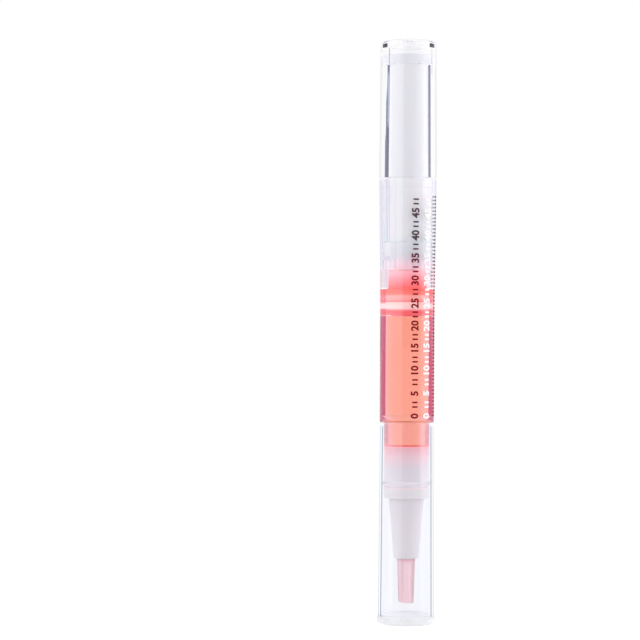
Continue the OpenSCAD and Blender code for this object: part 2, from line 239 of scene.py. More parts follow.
# The tint that the lamps' light takes on in clear plastic, and the reflections after which it is let out.
passingLook = {"tint": (0.99, 0.99, 0.99, 1), "reflections": 2.5}


def letLampsThrough(graph, surface, tint=passingLook["tint"]):
    # A clear surface that neither blocks the lamps nor shades what is inside it, nor traps reflections.
    trapped = graph.ray("Glossy Depth") > passingLook["reflections"]
    passing = graph.light("Is Shadow Ray", "Is Diffuse Ray").larger(trapped)
    return graph.mixed(passing, surface, graph.clear(tint))


# How softly a painted line ends to its sides, by how far the wall looks away, and at its two ends, in mm.
paintedLineLook = {"soft": 0.008, "fade": 0.08}


def lined(graph, tone, lines):
    # Paints lines of light and shade up the pen, placed by how far a turned face looks away from the viewer:
    # painted shade and painted highlights in place of the bands a clear wall bends light into.
    # Only the near wall has them, and a line with a side of -1 or 1 is on its left or right half.
    facing = graph.facing()
    near = graph.ray("Transmission Depth") < 0.5
    across = graph.part(graph.place(), "X")
    height = graph.height()
    for line in lines:
        ends = graph.within(height, *line["heights"], line.get("fade", paintedLineLook["fade"]))
        mask = graph.within(facing, *line["facing"], paintedLineLook["soft"]) * ends * near
        if "side" in line:
            mask = mask * (across * line["side"] > 0)
        tone = graph.blend(mask, tone, line["tone"])
    return tone


# The edge tone is painted shade where a shell is seen along its face.
shellLook = {"tint": colour(252, 252, 254), "capTint": colour(250, 251, 254), "edge": colour(236, 236, 244),
             "edgeShadePower": 6, "haze": 0.05, "smears": (3.5, 4, 3), "smearPower": 3, "scuffs": (0.25, 2),
             "scuffShare": 0.15, "waves": (6, 1, 4), "waveDepth": 0.004, "index": 1.5}


def clearPlastic(tint, lines):
    # Polished clear plastic with faint handling marks, painted shade where it is seen along its face, and
    # painted lines of light and shade.
    def build(graph):
        smears = graph.noise(*shellLook["smears"]) ** shellLook["smearPower"]
        scuffs = graph.noise(*shellLook["scuffs"])
        roughness = smears * shellLook["haze"] + scuffs * (shellLook["haze"] * shellLook["scuffShare"])
        # Painted shade towards the edges, where the face is seen along.
        tone = graph.blend(graph.facing() ** shellLook["edgeShadePower"], tint, shellLook["edge"])
        waves = graph.bump(graph.noise(*shellLook["waves"]), shellLook["waveDepth"])
        surface = graph.glass(lined(graph, tone, lines), roughness, shellLook["index"], Normal=waves)
        return letLampsThrough(graph, surface)
    return build


dulledLook = {"tint": colour(252, 252, 254), "wear": (0.8, 3), "wearRough": 0.2}


def dulledPlastic(share, tone):
    # Clear plastic whose polish is dulled, by this share, where it stands or grips another piece.
    def build(graph):
        worn = graph.noise(*dulledLook["wear"]) * dulledLook["wearRough"]
        clear = graph.glass(dulledLook["tint"], worn, shellLook["index"])
        dull = graph.add("ShaderNodeBsdfDiffuse", inputs={"Color": tone})
        return letLampsThrough(graph, graph.mixed(share, clear, dull))
    return build


# The bands say how far a face looks away where the next tone sets in and is full: further out a painted
# reflection makes the oil paler, and at its sides painted shade, partly the deeper colour of its longer path,
# makes it deeper;
# the side tone comes later in the funnel and in the neck, by their delays. The skin is where oil touches the
# funnel's wall.
oilLook = {"cloud": (5, 2, 3), "sheenBand": (0.04, 0.2), "sideShadeBand": (0.185, 0.21), "funnelDelay": 0.28,
           "neckDelay": 0.04, "funnelEdge": 0.1, "funnelSoft": 0.02, "bandSoft": 0.15, "index": 1.47,
           "skinSheenBand": (0.3, 0.42), "skinSideShadeBand": (0.48, 0.51)}


def oilPlastic(tones):
    # Pink oil: salmon where it is looked straight through, with a painted reflection that makes it paler
    # further out, and painted shade, partly the deeper colour of a longer path, that makes it deeper at its
    # sides.
    def build(graph):
        facing = graph.facing()
        height = graph.height()
        inFunnel = graph.within(height, neckTop - oilLook["funnelEdge"], columnLow, oilLook["funnelSoft"])
        inNeck = 1 - graph.step(height, neckTop - barrelSize["funnelReach"], neckTop)
        middle = graph.blend(graph.noise(*oilLook["cloud"]), tones["deepest"], tones["palest"])
        # Paler further out: a painted reflection of the side lights.
        middle = graph.blend(graph.step(facing, *oilLook["sheenBand"]), middle, tones["pale"])
        # The side tone is painted shade, partly the deeper colour of a longer path through the oil; at the
        # white lip's heights it is painted paler.
        side = graph.blend(inNeck, tones["side"], tones.get("neckSideShade", tones["side"]))
        if "paleHeights" in tones:
            mask = graph.within(height, *tones["paleHeights"], oilLook["bandSoft"])
            side = graph.blend(mask, side, tones["paleSide"])
        away = facing - inFunnel * oilLook["funnelDelay"] - inNeck * oilLook["neckDelay"]
        tone = graph.blend(graph.step(away, *oilLook["sideShadeBand"]), middle, side)
        return letLampsThrough(graph, graph.glass(tone, 0.0, oilLook["index"]), tones["lit"])
    return build


def skinOfOil(tones):
    # Oil that wets plastic of about its own density, so it tints but bends no light.
    # A ray passes two such walls, so each has the root of the oil's tone.
    def build(graph):
        facing = graph.facing()
        palest, pale, side = [graph.clear(tuple(part ** 0.5 for part in tones[name]))
                              for name in ("palest", "pale", "skinSideShade")]
        # Paler further out, a painted reflection, and deeper at the sides, painted shade, partly the oil's
        # longer path.
        middle = graph.mixed(graph.step(facing, *oilLook["skinSheenBand"]), palest, pale)
        return graph.mixed(graph.step(facing, *oilLook["skinSideShadeBand"]), middle, side)
    return build


def openLook(graph):
    # Nothing to see: where one body of oil, or one clear piece, meets the next.
    return graph.clear()


milkyLook = {"grain": (1.2, 3, 5), "grainShare": 0.08, "grainTone": (0.7, 0.68, 0.72, 1), "grainRough": 0.12,
             "roughness": 0.3, "spread": (1.0, 0.8, 0.8), "spreadLength": 1.2, "texture": (0.12, 2),
             "textureDepth": 0.004, "bandSoft": 0.1}


def milkyPlastic(stops, low, high, milk, paintedGlow=None, sides=None, roughness=milkyLook["roughness"]):
    # Half see-through plastic, coloured by height from low to high; milk is how much light spreads inside.
    # The glow passed on is painted light, by height, that stands in for light reaching it from behind, and
    # sides is another tone painted where one band's faces turn away from the viewer.
    def build(graph):
        height = graph.height()
        share = (height - low) / (high - low)
        tone = graph.ramp(share, stops)
        if sides:
            mask = graph.within(height, *sides["heights"], milkyLook["bandSoft"])
            tone = graph.blend(graph.step(graph.facing(), *sides["facing"]) * mask, tone, sides["tone"])
        grain = graph.noise(*milkyLook["grain"])
        inputs = {
            "Base Color": graph.blend(grain * milkyLook["grainShare"], tone, milkyLook["grainTone"]),
            "Roughness": grain * milkyLook["grainRough"] + roughness,
            "Subsurface Weight": milk,
            "Subsurface Radius": milkyLook["spread"],
            "Subsurface Scale": milkyLook["spreadLength"] * mm,
            "Normal": graph.bump(graph.noise(*milkyLook["texture"]), milkyLook["textureDepth"]),
        }
        if paintedGlow:
            # Painted glow: emission that stands in for light from behind.
            inputs["Emission Color"] = graph.ramp(share, paintedGlow["stops"])
            inputs["Emission Strength"] = paintedGlow["strength"]
        return graph.add("ShaderNodeBsdfPrincipled", inputs=inputs)
    return build


print("materials ready")


# Shapes

# Fillets, in mm, of a crisp and of an eased edge.
crisp = 0.05
eased = 0.1
# Margins, in mm, by which faces are picked: level with a height, close to a radius, past an eased edge.
level = 0.001
close = 0.05
past = 0.15
# Corners that lie this near each other, in metres, become one.
weldWithin = 1e-7


def rounded(corners, arcSteps=6, support=0.12):
    # An outline from corners of (radius, height, fillet).
    # A fillet becomes an arc with a support point on each side.
    outline = []
    for index, (radius, height, fillet) in enumerate(corners):
        here = Vector((radius, height))
        if fillet == 0:
            outline.append(here)
            continue
        toLast = (Vector(corners[index - 1][:2]) - here).normalized()
        toNext = (Vector(corners[(index + 1) % len(corners)][:2]) - here).normalized()
        half = toLast.angle(toNext) / 2
        centre = here + (toLast + toNext).normalized() * (fillet / math.sin(half))
        first = here + toLast * (fillet / math.tan(half)) - centre
        last = here + toNext * (fillet / math.tan(half)) - centre
        sweep = first.angle_signed(last)
        outline.append(centre + first + toLast * support)
        for step in range(arcSteps + 1):
            outline.append(centre + Matrix.Rotation(-sweep * step / arcSteps, 2) @ first)
        outline.append(centre + last + toNext * support)
    return outline


def newPiece(name, bm, body, materials, replaced=(), sharp=35):
    # Closes the mesh, names it and hangs it on its body; edges over the sharp angle stay sharp.
    bmesh.ops.remove_doubles(bm, verts=bm.verts, dist=weldWithin)
    bmesh.ops.recalc_face_normals(bm, faces=bm.faces)
    mesh = bpy.data.meshes.new(name)
    bm.to_mesh(mesh)
    bm.free()
    mesh.shade_smooth()
    mesh.set_sharp_from_angle(angle=math.radians(sharp))
    piece = bpy.data.objects.new(name, mesh)
    bpy.context.scene.collection.objects.link(piece)
    for material in materials:
        mesh.materials.append(material)
    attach(piece, body)
    if replaced:
        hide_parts(*replaced)
    return piece


def spun(bm, outline, segments=160, ring=False):
    # Turns an outline of (radius, height) in mm about the pen's axis; a ring's outline closes on itself.
    verts = [bm.verts.new((radius * mm, 0, height * mm)) for radius, height in outline]
    edges = [bm.edges.new(pair) for pair in zip(verts, verts[1:])]
    if ring:
        edges.append(bm.edges.new((verts[-1], verts[0])))
    bmesh.ops.spin(bm, geom=verts + edges, cent=(0, 0, 0), axis=(0, 0, 1), angle=turn,
                   steps=segments, use_merge=True)


def turned(name, corners, body, materials, replaced=(), ring=False):
    bm = bmesh.new()
    spun(bm, rounded(corners), ring=ring)
    return newPiece(name, bm, body, materials, replaced)


def markFaces(piece, wanted, slot=1):
    # Gives another of a piece's materials to the faces whose centre, in mm, is wanted.
    for face in piece.data.polygons:
        if wanted(face.center / mm):
            face.material_index = slot


def openUp(piece, *heights):
    # Leaves the flat faces at these heights open, so that one body of oil runs into the next.
    markFaces(piece, lambda centre: any(abs(centre.z - height) < level for height in heights))


# Clear shells

def shellLine(facing, heights, tone, **more):
    # One of a shell's painted lines of light and shade, by how far the wall looks away there, its heights in
    # mm and its colour.
    return {"facing": facing, "heights": heights, "tone": colour(*tone), **more}


# Painted light and shade on the clear shells: the dark lines are painted shade where the walls bend light
# away, the pale and white ones painted highlights, the pink ones on the barrel a painted reflection of the
# piston, and the rim's dark blocks painted shade in the knob's thick top edge.
paintedLightLines = {
    "cap": [
        shellLine((0.49, 0.54), (1.5, 44), (86, 105, 140)),
        shellLine((0.67, 0.71), (1.5, 44), (140, 150, 180)),
    ],
    "barrel": [
        shellLine((0.08, 0.45), (79, 99), (242, 242, 245), side=-1),
        shellLine((0.22, 0.45), (81, 99), (230, 231, 243), side=-1),
        shellLine((0.45, 1.1), (79, 99), (214, 214, 232)),
        shellLine((0.31, 1.1), (74.95, 78.85), (225, 188, 203)),
        shellLine((0.31, 0.37), (74.95, 78.85), (204, 180, 208), side=-1),
        shellLine((0.565, 0.595), (80, 98), (150, 152, 190), side=-1),
        shellLine((0.31, 0.335), (85, 99), (188, 190, 218), side=-1, fade=1),
        shellLine((0.235, 0.25), (85, 99), (200, 202, 226), side=-1, fade=1),
        shellLine((0.22, 0.43), (82, 85), (252, 252, 255), side=-1),
    ],
    "knob": [
        shellLine((0.38, 0.88), (99, 128), (246, 246, 248)),
        shellLine((0.25, 0.29), (106, 124.4), (230, 236, 248), fade=3),
        shellLine((0.335, 0.375), (99, 116), (50, 51, 76), side=-1, fade=5),
        shellLine((0.37, 0.41), (99, 107), (70, 70, 100), side=-1, fade=4),
        shellLine((0.265, 0.338), (99, 124.4), (50, 51, 76), side=-1),
        shellLine((0.278, 0.315), (112, 121.5), (134, 148, 190), side=-1, fade=2),
        shellLine((0.3, 0.385), (99, 124.4), (66, 66, 92), side=1),
        shellLine((0.27, 0.284), (124.6, 128.3), (90, 90, 100), side=-1),
        shellLine((0.45, 0.468), (122.5, 128.3), (120, 120, 130), side=1),
        shellLine((0.88, 1.1), (99, 128.6), (190, 190, 202)),
        shellLine((0, 0.4), (129, 130.1), (240, 240, 247)),
    ],
    "rim": [
        shellLine((0.355, 0.63), (128.42, 129.3), (1.3, 1.3, 3.3), fade=0.03),
        shellLine((0.42, 0.62), (129.55, 129.7), (24, 32, 86), fade=0.03),
        shellLine((0.66, 1.1), (129.9, 130.1), (170, 170, 186)),
    ],
}


def shellPlastic(name, tint=shellLook["tint"]):
    return finish(name + "Shell", clearPlastic(tint, paintedLightLines[name]))


openFace = finish("openFace", openLook)

capLow, capHigh, capRadius = span("cap")
capSize = {"mouth": 6.2, "boreEnd": 5.55, "boreMouth": 5.65, "floor": 1.0, "edge": 0.5, "corner": 0.8,
           "lip": 0.12, "gate": 1.0, "gateDepth": 0.15, "dull": 1.7, "dullShare": 0.4,
           "dullTone": colour(246, 247, 250)}
dullRadius = capRadius + (capSize["mouth"] - capRadius) * capSize["dull"] / capHigh
dulledEnd = finish("dulledEnd", dulledPlastic(capSize["dullShare"], capSize["dullTone"]))
capPiece = turned("clearCap", [
    (0, capLow + capSize["gateDepth"], 0),
    (capSize["gate"], capLow + capSize["gateDepth"], crisp),
    (capSize["gate"], capLow, crisp),
    (capRadius, capLow, capSize["edge"]),
    (dullRadius, capSize["dull"], 0),
    (capSize["mouth"], capHigh, capSize["lip"]),
    (capSize["boreMouth"], capHigh, capSize["lip"]),
    (capSize["boreEnd"], capLow + capSize["floor"], capSize["corner"]),
    (0, capLow + capSize["floor"], 0),
], "cap", [shellPlastic("cap", shellLook["capTint"]), dulledEnd], ["cap"])
markFaces(capPiece, lambda centre: centre.z < capSize["dull"])

barrelLow, barrelHigh, barrelRadius = span("barrel")
barrelSize = {"neck": 5.1, "neckBore": 4.2, "ring": 5.57, "ringHeight": 1.1, "ringSlope": 0.35,
              "ringEdge": 0.12, "shoulder": 44.9, "front": 6.1, "straight": 26, "chamber": 5.3,
              "chamberLow": 46.4, "funnelEdge": 0.3, "funnelReach": 0.4, "seat": 5.6, "ledge": 78.9,
              "soft": 0.2, "beadShare": 0.5, "beadTone": colour(238, 236, 242)}
neckTop = barrelSize["chamberLow"] - (barrelSize["chamber"] - barrelSize["neckBore"])
columnLow = barrelSize["chamberLow"]
ringHigh = barrelLow + barrelSize["ringHeight"]
dulledBead = finish("dulledBead", dulledPlastic(barrelSize["beadShare"], barrelSize["beadTone"]))
barrelPiece = turned("clearBarrel", [
    (barrelSize["neckBore"], barrelLow, eased),
    (barrelSize["neck"], barrelLow, eased),
    (barrelSize["ring"], barrelLow + barrelSize["ringSlope"], barrelSize["ringEdge"]),
    (barrelSize["ring"], ringHigh - barrelSize["ringSlope"], barrelSize["ringEdge"]),
    (barrelSize["neck"], ringHigh, eased),
    (barrelSize["neck"], barrelSize["shoulder"], eased),
    (barrelSize["front"], barrelSize["shoulder"], barrelSize["soft"]),
    (barrelSize["front"], barrelSize["shoulder"] + barrelSize["straight"], 0),
    (barrelRadius, barrelHigh, barrelSize["soft"]),
    (barrelSize["seat"], barrelHigh, barrelSize["soft"]),
    (barrelSize["seat"], barrelSize["ledge"], crisp),
    (barrelSize["chamber"], barrelSize["ledge"], crisp),
    (barrelSize["chamber"], barrelSize["chamberLow"], barrelSize["funnelEdge"]),
    (barrelSize["neckBore"], neckTop, barrelSize["funnelEdge"]),
], "barrel", [shellPlastic("barrel"), openFace, dulledBead], ["barrel"], ring=True)


def onBead(centre):
    return centre.z < ringHigh + past and centre.xy.length > barrelSize["neck"] - close


def inFunnel(centre):
    return neckTop - barrelSize["funnelReach"] < centre.z < columnLow - level


markFaces(barrelPiece, onBead, 2)
openUp(barrelPiece, barrelSize["ledge"])
markFaces(barrelPiece, lambda centre: inFunnel(centre) and centre.xy.length < barrelSize["chamber"])

knobLow, knobHigh, knobRadius = span("knob_shell")
knobSize = {"end": 6.225, "boreMouth": 4.85, "boreEnd": 4.7, "socket": 4.15, "socketLow": 124.8,
            "ceiling": 128.7, "ceilingEdge": 0.3, "edge": 0.5, "lip": 0.12, "gate": 1.0, "gateDepth": 0.15,
            "rimLow": 128.2, "rimWidth": 0.6, "seatHigh": 126.9, "seatShare": 0.85,
            "seatTone": colour(238, 238, 243)}
rimShare = (knobHigh - knobSize["rimLow"]) / (knobHigh - knobLow)
rimRadius = knobSize["end"] + (knobRadius - knobSize["end"]) * rimShare
stemSeat = finish("stemSeat", dulledPlastic(knobSize["seatShare"], knobSize["seatTone"]))
knobPiece = turned("clearKnob", [
    (0, knobHigh - knobSize["gateDepth"], 0),
    (knobSize["gate"], knobHigh - knobSize["gateDepth"], crisp),
    (knobSize["gate"], knobHigh, crisp),
    (knobSize["end"], knobHigh, knobSize["edge"]),
    (rimRadius, knobSize["rimLow"], 0),
    (knobRadius, knobLow, knobSize["lip"]),
    (knobSize["boreMouth"], knobLow, knobSize["lip"]),
    (knobSize["boreEnd"], knobSize["socketLow"], eased),
    (knobSize["socket"], knobSize["socketLow"], eased),
    (knobSize["socket"], knobSize["seatHigh"], 0),
    (knobSize["socket"], knobSize["ceiling"], knobSize["ceilingEdge"]),
    (0, knobSize["ceiling"], 0),
], "knob", [shellPlastic("knob"), shellPlastic("rim"), stemSeat, openFace], ["knob_shell"])


def onRim(centre):
    return centre.xy.length > knobSize["end"] - knobSize["rimWidth"] and centre.z > knobSize["rimLow"]


def onSeat(centre):
    low, high = knobSize["socketLow"] + past, knobSize["seatHigh"]
    return centre.xy.length < knobSize["socket"] + close and low < centre.z < high


def onSocketStep(centre):
    return centre.xy.length < knobSize["boreEnd"] + close and abs(centre.z - knobSize["socketLow"]) < past


markFaces(knobPiece, onRim)
markFaces(knobPiece, onSeat, 2)
markFaces(knobPiece, onSocketStep, 3)
print("clear shells turned")

# Oil: the part in the neck, and the column in the chamber up to the piston

oilSize = {"wet": 0.06, "low": 35.55, "channel": 2.95, "plugTop": 39.62, "plugEdge": 0.1, "plugReach": 0.2,
           "meet": 0.02}
# The pale tone is a painted reflection; the side tones are painted shade, partly the deeper colour of a
# longer path through the oil. In the film the side tone is painted paler at the white lip's heights.
oilTones = {"palest": colour(255, 165, 143), "deepest": colour(255, 157, 131), "pale": colour(255, 185, 188),
            "side": colour(156, 4, 64), "neckSideShade": colour(226, 120, 152), "skinSideShade": colour(216, 96, 136),
            "lit": colour(255, 225, 220)}
filmTones = {"palest": colour(255, 236, 234), "deepest": colour(255, 228, 224), "pale": colour(255, 234, 236),
             "side": colour(220, 104, 138), "paleHeights": (70.3, 71.4), "paleSide": colour(252, 214, 226),
             "lit": colour(255, 248, 246)}
oil = finish("pinkOil", oilPlastic(oilTones))
thinOil = finish("thinOil", oilPlastic(filmTones))
oilSkin = finish("oilSkin", skinOfOil(oilTones))
wetNeck = barrelSize["neckBore"] + oilSize["wet"]
wetChamber = barrelSize["chamber"] + oilSize["wet"]
pistonLow, pistonHigh, pistonRadius = span("piston")
columnHigh = pistonLow - oilSize["meet"]
oilNeck = turned("oilNeck", [
    (0, oilSize["low"], 0),
    (oilSize["channel"], oilSize["low"], eased),
    (oilSize["channel"], oilSize["plugTop"], eased),
    (wetNeck - oilSize["plugEdge"], oilSize["plugTop"], 0),
    (wetNeck, oilSize["plugTop"] - oilSize["plugEdge"], 0),
    (wetNeck, neckTop, barrelSize["funnelEdge"]),
    (wetChamber, columnLow, 0),
    (0, columnLow, 0),
], "barrel", [oil, openFace, oilSkin], ["oil_fill"])


def onPlug(centre):
    reach = oilSize["plugReach"]
    return abs(centre.z - oilSize["plugTop"]) < reach and centre.xy.length > oilSize["channel"] + reach


openUp(oilNeck, columnLow)
markFaces(oilNeck, inFunnel, 2)
markFaces(oilNeck, onPlug)
oilColumn = turned("oilColumn", [
    (0, columnLow, 0),
    (wetChamber, columnLow, 0),
    (wetChamber, columnHigh, 0),
    (0, columnHigh, 0),
], "barrel", [oil, openFace])
openUp(oilColumn, columnLow, columnHigh)
pistonTravel = next(joint for joint in frame["joints"] if joint["name"] == "piston_feed")["range_m"][1] / mm
columnLow * mm
1 - pistonTravel / (columnHigh - columnLow)
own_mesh(oilColumn)
print("oil filled")

# Nozzle and brush

nozzleLow, nozzleHigh, nozzleRadius = span("nozzle")
nozzleSize = {"tip": 2.8, "tuftBore": 2.15, "tipEdge": 0.5, "root": 4.0, "rootEdge": 0.3, "flangeLow": 28.0,
              "flangeHigh": 30.5, "plug": 4.23, "bore": 3.0, "collar": 23.5, "soft": 0.2, "milk": 0.5}
nozzleTones = steps((0.0, 240, 231, 235), (0.5, 235, 227, 231), (0.62, 236, 230, 233), (0.635, 248, 218, 224),
                    (0.66, 239, 232, 237), (0.8, 233, 224, 229), (0.9, 252, 213, 221), (1.0, 255, 180, 192))
# A painted glow: a thin red line near the nozzle's top.
nozzleGlow = {"strength": 0.25, "stops": steps((0.987, 0, 0, 0), (0.996, 255, 90, 96))}
nozzlePlastic = finish("milkyPlastic", milkyPlastic(nozzleTones, nozzleLow, nozzleHigh, nozzleSize["milk"],
                                                    nozzleGlow))
turned("milkyNozzle", [
    (nozzleSize["tuftBore"], nozzleLow, crisp),
    (nozzleSize["tip"], nozzleLow, nozzleSize["tipEdge"]),
    (nozzleSize["root"], nozzleSize["flangeLow"], nozzleSize["rootEdge"]),
    (nozzleRadius, nozzleSize["flangeLow"], nozzleSize["soft"]),
    (nozzleRadius, nozzleSize["flangeHigh"], nozzleSize["soft"]),
    (nozzleSize["plug"], nozzleSize["flangeHigh"], crisp),
    (nozzleSize["plug"], nozzleHigh, eased),
    (nozzleSize["bore"], nozzleHigh, nozzleSize["soft"]),
    (nozzleSize["bore"], nozzleSize["collar"], crisp),
    (nozzleSize["tuftBore"], nozzleSize["collar"], crisp),
], "barrel", [nozzlePlastic], ["nozzle"], ring=True)

bristleTones = {"deeper": colour(255, 213, 221), "paler": colour(255, 226, 232),
                "root": colour(248, 190, 202), "rootHeights": (13.2, 14.6), "streaks": (0.1, 1, 30),
                "gloss": (0.2, 1), "glossShare": 0.2, "roughness": 0.3, "glow": colour(255, 200, 208),
                "glowStrength": 0.12}


def bristleLook(graph):
    # Bristles soaked with oil, deeper in tone towards the nozzle, with a faint painted glow; they let light
    # on to what is behind them.
    tone = graph.blend(graph.noise(*bristleTones["streaks"]), bristleTones["deeper"], bristleTones["paler"])
    nearRoot = graph.step(graph.height(), *bristleTones["rootHeights"])
    gloss = graph.noise(*bristleTones["gloss"])
    strand = graph.add("ShaderNodeBsdfPrincipled", inputs={
        "Base Color": graph.blend(nearRoot, tone, bristleTones["root"]),
        "Roughness": gloss * bristleTones["glossShare"] + bristleTones["roughness"],
        "Emission Color": bristleTones["glow"],
        "Emission Strength": bristleTones["glowStrength"],
    })
    passing = graph.light("Is Shadow Ray", "Is Diffuse Ray")
    return graph.mixed(passing, strand, graph.clear())


bristles = finish("oiledBristles", bristleLook)
tuftLow = span("brush_bristles")[0]
tuftSize = {"count": 1500, "rootRadius": 2.06, "endRadius": 1.7, "thick": 0.042, "tip": 0.012, "sides": 5,
            "slant": 0.3, "uneven": 0.12, "rootHeight": 16.5, "coreShare": 0.86, "coreInset": 0.5,
            "coreEdge": 0.2, "coreSegments": 48, "sharp": 60, "goldenAngle": 137.508, "seed": 7}


def makeTuft():
    # Straight strands that draw together towards a flat, slightly slanted end, round an oil-soaked core.
    rng = random.Random(tuftSize["seed"])
    single = bmesh.new()
    bmesh.ops.create_cone(single, cap_ends=True, segments=tuftSize["sides"], radius1=tuftSize["tip"] * mm,
                          radius2=tuftSize["thick"] * mm, depth=1)
    strand = bpy.data.meshes.new("strand")
    single.to_mesh(strand)
    single.free()
    bm = bmesh.new()
    for index in range(tuftSize["count"]):
        share = math.sqrt((index + 0.5) / tuftSize["count"])
        angle = index * math.radians(tuftSize["goldenAngle"])
        side = Vector((math.cos(angle), math.sin(angle), 0)) * share
        root = side * tuftSize["rootRadius"] + Vector((0, 0, tuftSize["rootHeight"]))
        end = side * tuftSize["endRadius"]
        end.z = tuftLow + tuftSize["slant"] * (1 - side.x) / 2 + rng.uniform(0, tuftSize["uneven"])
        along = root - end
        place = Matrix.Translation((root + end) / 2 * mm) @ along.to_track_quat("Z", "Y").to_matrix().to_4x4()
        place = place @ Matrix.Diagonal((1, 1, along.length * mm, 1))
        strand.transform(place)
        bm.from_mesh(strand)
        strand.transform(place.inverted())
    coreLow = tuftLow + tuftSize["coreInset"]
    spun(bm, rounded([
        (0, coreLow, 0),
        (tuftSize["endRadius"] * tuftSize["coreShare"], coreLow, tuftSize["coreEdge"]),
        (tuftSize["rootRadius"] * tuftSize["coreShare"], tuftSize["rootHeight"], tuftSize["coreEdge"]),
        (0, tuftSize["rootHeight"], 0),
    ]), segments=tuftSize["coreSegments"])
    newPiece("oiledTuft", bm, "barrel", [bristles], ["brush_bristles"], tuftSize["sharp"])


makeTuft()
print("brush made")

# Piston and drive

pistonSize = {"front": 3.3, "frontEdge": 0.2, "nose": 0.85, "noseEdge": 0.4, "waist": 4.55, "waistEdge": 0.2,
              "lipLow": 1.7, "lip": 1.5, "lipRim": 0.75, "waistHeight": 1.3, "collar": 4.35,
              "collarStep": 0.2, "collarEdge": 0.15, "hollow": 3.45, "hollowEdge": 0.2, "mouth": 7.3,
              "soft": 0.25, "film": 0.03, "milk": 0.3}
# The bands follow the piston's lips under its oil; the dark line where the front lip meets the waist is
# painted shade.
pistonTones = steps((0.0, 255, 20, 36), (0.08, 255, 56, 72), (0.125, 255, 140, 150), (0.17, 255, 240, 240),
                    (0.3, 255, 242, 242), (0.325, 240, 88, 96), (0.35, 255, 180, 178), (0.44, 255, 194, 190),
                    (0.48, 255, 116, 100), (0.6, 255, 82, 74), (0.64, 255, 86, 94), (0.8, 255, 142, 156),
                    (1.0, 252, 206, 218))
# A painted glow at the nose.
pistonGlow = {"strength": 0.3, "stops": steps((0, 255, 60, 74), (0.12, 255, 76, 86), (0.17, 255, 130, 124))}
# Painted sheen: the nose's sides paler where they turn from the viewer.
noseSheen = {"facing": (0.26, 0.6), "heights": (pistonLow, pistonLow + 1.5), "tone": colour(255, 132, 142)}
pistonPlastic = finish("pistonPlastic", milkyPlastic(pistonTones, pistonLow, pistonHigh, pistonSize["milk"],
                                                     pistonGlow, noseSheen))
lipLow = pistonLow + pistonSize["lipLow"]
waistLow = lipLow + pistonSize["lip"]
rearLow = waistLow + pistonSize["waistHeight"]
collarLow = rearLow + pistonSize["lip"]
mouthLow = pistonLow + pistonSize["mouth"]
pistonSide = [
    (pistonSize["front"], pistonLow, pistonSize["frontEdge"]),
    (pistonSize["waist"], pistonLow + pistonSize["nose"], pistonSize["noseEdge"]),
    (pistonRadius, lipLow, pistonSize["soft"]),
    (pistonRadius, lipLow + pistonSize["lipRim"], pistonSize["soft"]),
    (pistonSize["waist"], waistLow, pistonSize["waistEdge"]),
    (pistonSize["waist"], rearLow, pistonSize["waistEdge"]),
    (pistonRadius, rearLow + pistonSize["lipRim"], pistonSize["soft"]),
    (pistonRadius, collarLow, eased),
]
turned("softPiston", [(0, pistonLow, 0)] + pistonSide + [
    (pistonSize["collar"], collarLow + pistonSize["collarStep"], eased),
    (pistonSize["collar"], pistonHigh, pistonSize["collarEdge"]),
    (pistonSize["hollow"], pistonHigh, pistonSize["collarEdge"]),
    (pistonSize["hollow"], mouthLow, pistonSize["hollowEdge"]),
    (0, mouthLow, 0),
], "piston", [pistonPlastic], ["piston"])
# The oil that wets the piston's side, from its front to its rear lip.
filmSide = [(radius - pistonSize["film"], height, fillet) for radius, height, fillet in pistonSide]
oilFilm = turned("oilFilm", filmSide + [(wetChamber, collarLow, crisp), (wetChamber, pistonLow, 0)],
                 "piston", [thinOil, openFace], ring=True)
openUp(oilFilm, pistonLow)

stemLow, stemHigh, _ = span("drive_stem")
nutLow, nutHigh, _ = span("screw_nut")
driveLook = {"stemMilk": 0.35, "nutMilk": 0.4, "innerMilk": 0.3, "innerHeights": (10, 40), "innerRough": 0.35,
             "weldWithin": 0.001, "sharp": 30}
whiteTones = steps((0.0, 240, 239, 243), (1.0, 246, 246, 249))
innerTones = steps((0.0, 236, 226, 232), (1.0, 240, 232, 238))
# The pink at the nut's foot, and its glow, are painted pink light from the piston and oil below; its sides
# are painted a plain tone.
nutTones = steps((0.0, 250, 202, 214), (0.2, 246, 217, 228), (0.45, 242, 231, 239), (0.7, 240, 236, 243),
                 (1.0, 242, 241, 247))
nutGlow = {"strength": 0.12, "stops": steps((0, 255, 180, 192), (0.25, 255, 180, 192), (0.5, 0, 0, 0))}
nutSide = {"facing": (0.1, 0.28), "heights": (nutLow, nutLow + 2.9), "tone": colour(236, 233, 241)}
whitePlastic = finish("whitePlastic", milkyPlastic(whiteTones, stemLow, stemHigh, driveLook["stemMilk"]))
nutPlastic = finish("nutPlastic", milkyPlastic(nutTones, nutLow, nutHigh, driveLook["nutMilk"],
                                               nutGlow, nutSide))
innerPlastic = finish("innerPlastic", milkyPlastic(innerTones, *driveLook["innerHeights"],
                                                   driveLook["innerMilk"], roughness=driveLook["innerRough"]))
keptNodes = {"drive_stem": whitePlastic, "screw_rod": whitePlastic, "click_spring": whitePlastic,
             "screw_nut": nutPlastic, "brush_collar": innerPlastic, "feed_tube": innerPlastic}
for name, material in keptNodes.items():
    node = frame["nodes"][name]
    node.data.shade_smooth()
    node.data.materials.clear()
    node.data.materials.append(material)
    weld = node.modifiers.new("weld", "WELD")
    weld.merge_threshold = driveLook["weldWithin"] * mm
    split = node.modifiers.new("edges", "EDGE_SPLIT")
    split.split_angle = math.radians(driveLook["sharp"])

